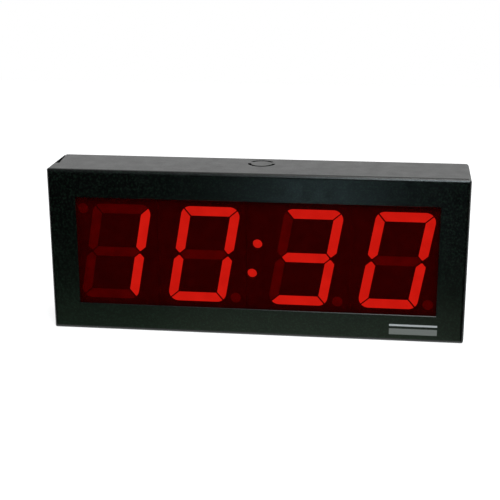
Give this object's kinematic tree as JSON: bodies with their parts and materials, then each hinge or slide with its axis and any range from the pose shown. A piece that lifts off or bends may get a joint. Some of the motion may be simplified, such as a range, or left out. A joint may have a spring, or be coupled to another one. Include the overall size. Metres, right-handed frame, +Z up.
{
  "type": "digital wall clock",
  "caption": "Wall clock and timer with large red seven-segment LED digits behind a red lens in a folded black steel case, with keyholes, a cable entry and set buttons in its back plate.",
  "frame": {"origin": "middle of the base, in plan the middle of the case", "axes": "+X along the case to the viewer's right, front faces -Y, +Z up"},
  "size_m": [0.428, 0.073, 0.172],
  "materials": {
    "case_paint": "black textured powder coat",
    "plate_paint": "black textured powder coat",
    "zinc": "bright zinc plate",
    "black_steel": "black oxide",
    "brass": "nickel-free turned brass",
    "rubber": "black moulded rubber",
    "red_lens": "clear red acrylic sheet",
    "module_black": "matt black moulding",
    "lit_resin": "diffusing red resin, lit",
    "unlit_resin": "diffusing red resin, unlit",
    "board_green": "solder mask on glass-epoxy",
    "chip_black": "moulded epoxy",
    "can_blue": "sleeved can",
    "sink_black": "black anodised",
    "terminal_green": "moulded nylon",
    "ribbon_grey": "flat vinyl cable",
    "cap_grey": "moulded key cap"
  },
  "bodies": {
    "clock": {"front_case": "case_paint", "back_plate": "plate_paint", "back_screws": "black_steel", "clinch_nuts": "zinc", "cable_bushing": "rubber", "lens": "red_lens", "lens_studs": "zinc", "lens_clips": "zinc", "lens_nuts": "zinc", "display_board": "board_green", "display_spacers": "brass", "display_screws": "zinc", "digit_1_housing": "module_black", "digit_1_lit": "lit_resin", "digit_1_unlit": "unlit_resin", "digit_2_housing": "module_black", "digit_2_lit": "lit_resin", "digit_2_unlit": "unlit_resin", "digit_3_housing": "module_black", "digit_3_lit": "lit_resin", "digit_3_unlit": "unlit_resin", "digit_4_housing": "module_black", "digit_4_lit": "lit_resin", "digit_4_unlit": "unlit_resin", "digit_pins": "zinc", "colon_lamps": "lit_resin", "colon_mask": "module_black", "driver_chips": "chip_black", "ribbon_cable": "ribbon_grey", "ribbon_plugs": "chip_black", "ribbon_headers": "chip_black", "control_board": "board_green", "control_spacers": "brass", "control_screws": "zinc", "processor": "chip_black", "crystal": "zinc", "capacitors": "can_blue", "rectifier": "chip_black", "regulator": "chip_black", "heat_sink": "sink_black", "terminal_block": "terminal_green", "terminal_screws": "zinc", "battery_holder": "chip_black", "backup_battery": "zinc", "button_switches": "chip_black", "mode_switch": "chip_black"},
    "hours_key": {"hours_button": "cap_grey"},
    "minutes_key": {"minutes_button": "cap_grey"},
    "mode_key": {"mode_slider": "cap_grey"}
  },
  "joints": [
    {"name": "hours_press", "type": "slide", "parent": "clock", "child": "hours_key", "axis": [0, -1, 0], "range_m": [0, 0.0012], "stiffness_N_per_m": 800},
    {"name": "minutes_press", "type": "slide", "parent": "clock", "child": "minutes_key", "axis": [0, -1, 0], "range_m": [0, 0.0012], "stiffness_N_per_m": 800},
    {"name": "mode_slide", "type": "slide", "parent": "clock", "child": "mode_key", "axis": [1, 0, 0], "range_m": [0, 0.0025]}
  ]
}
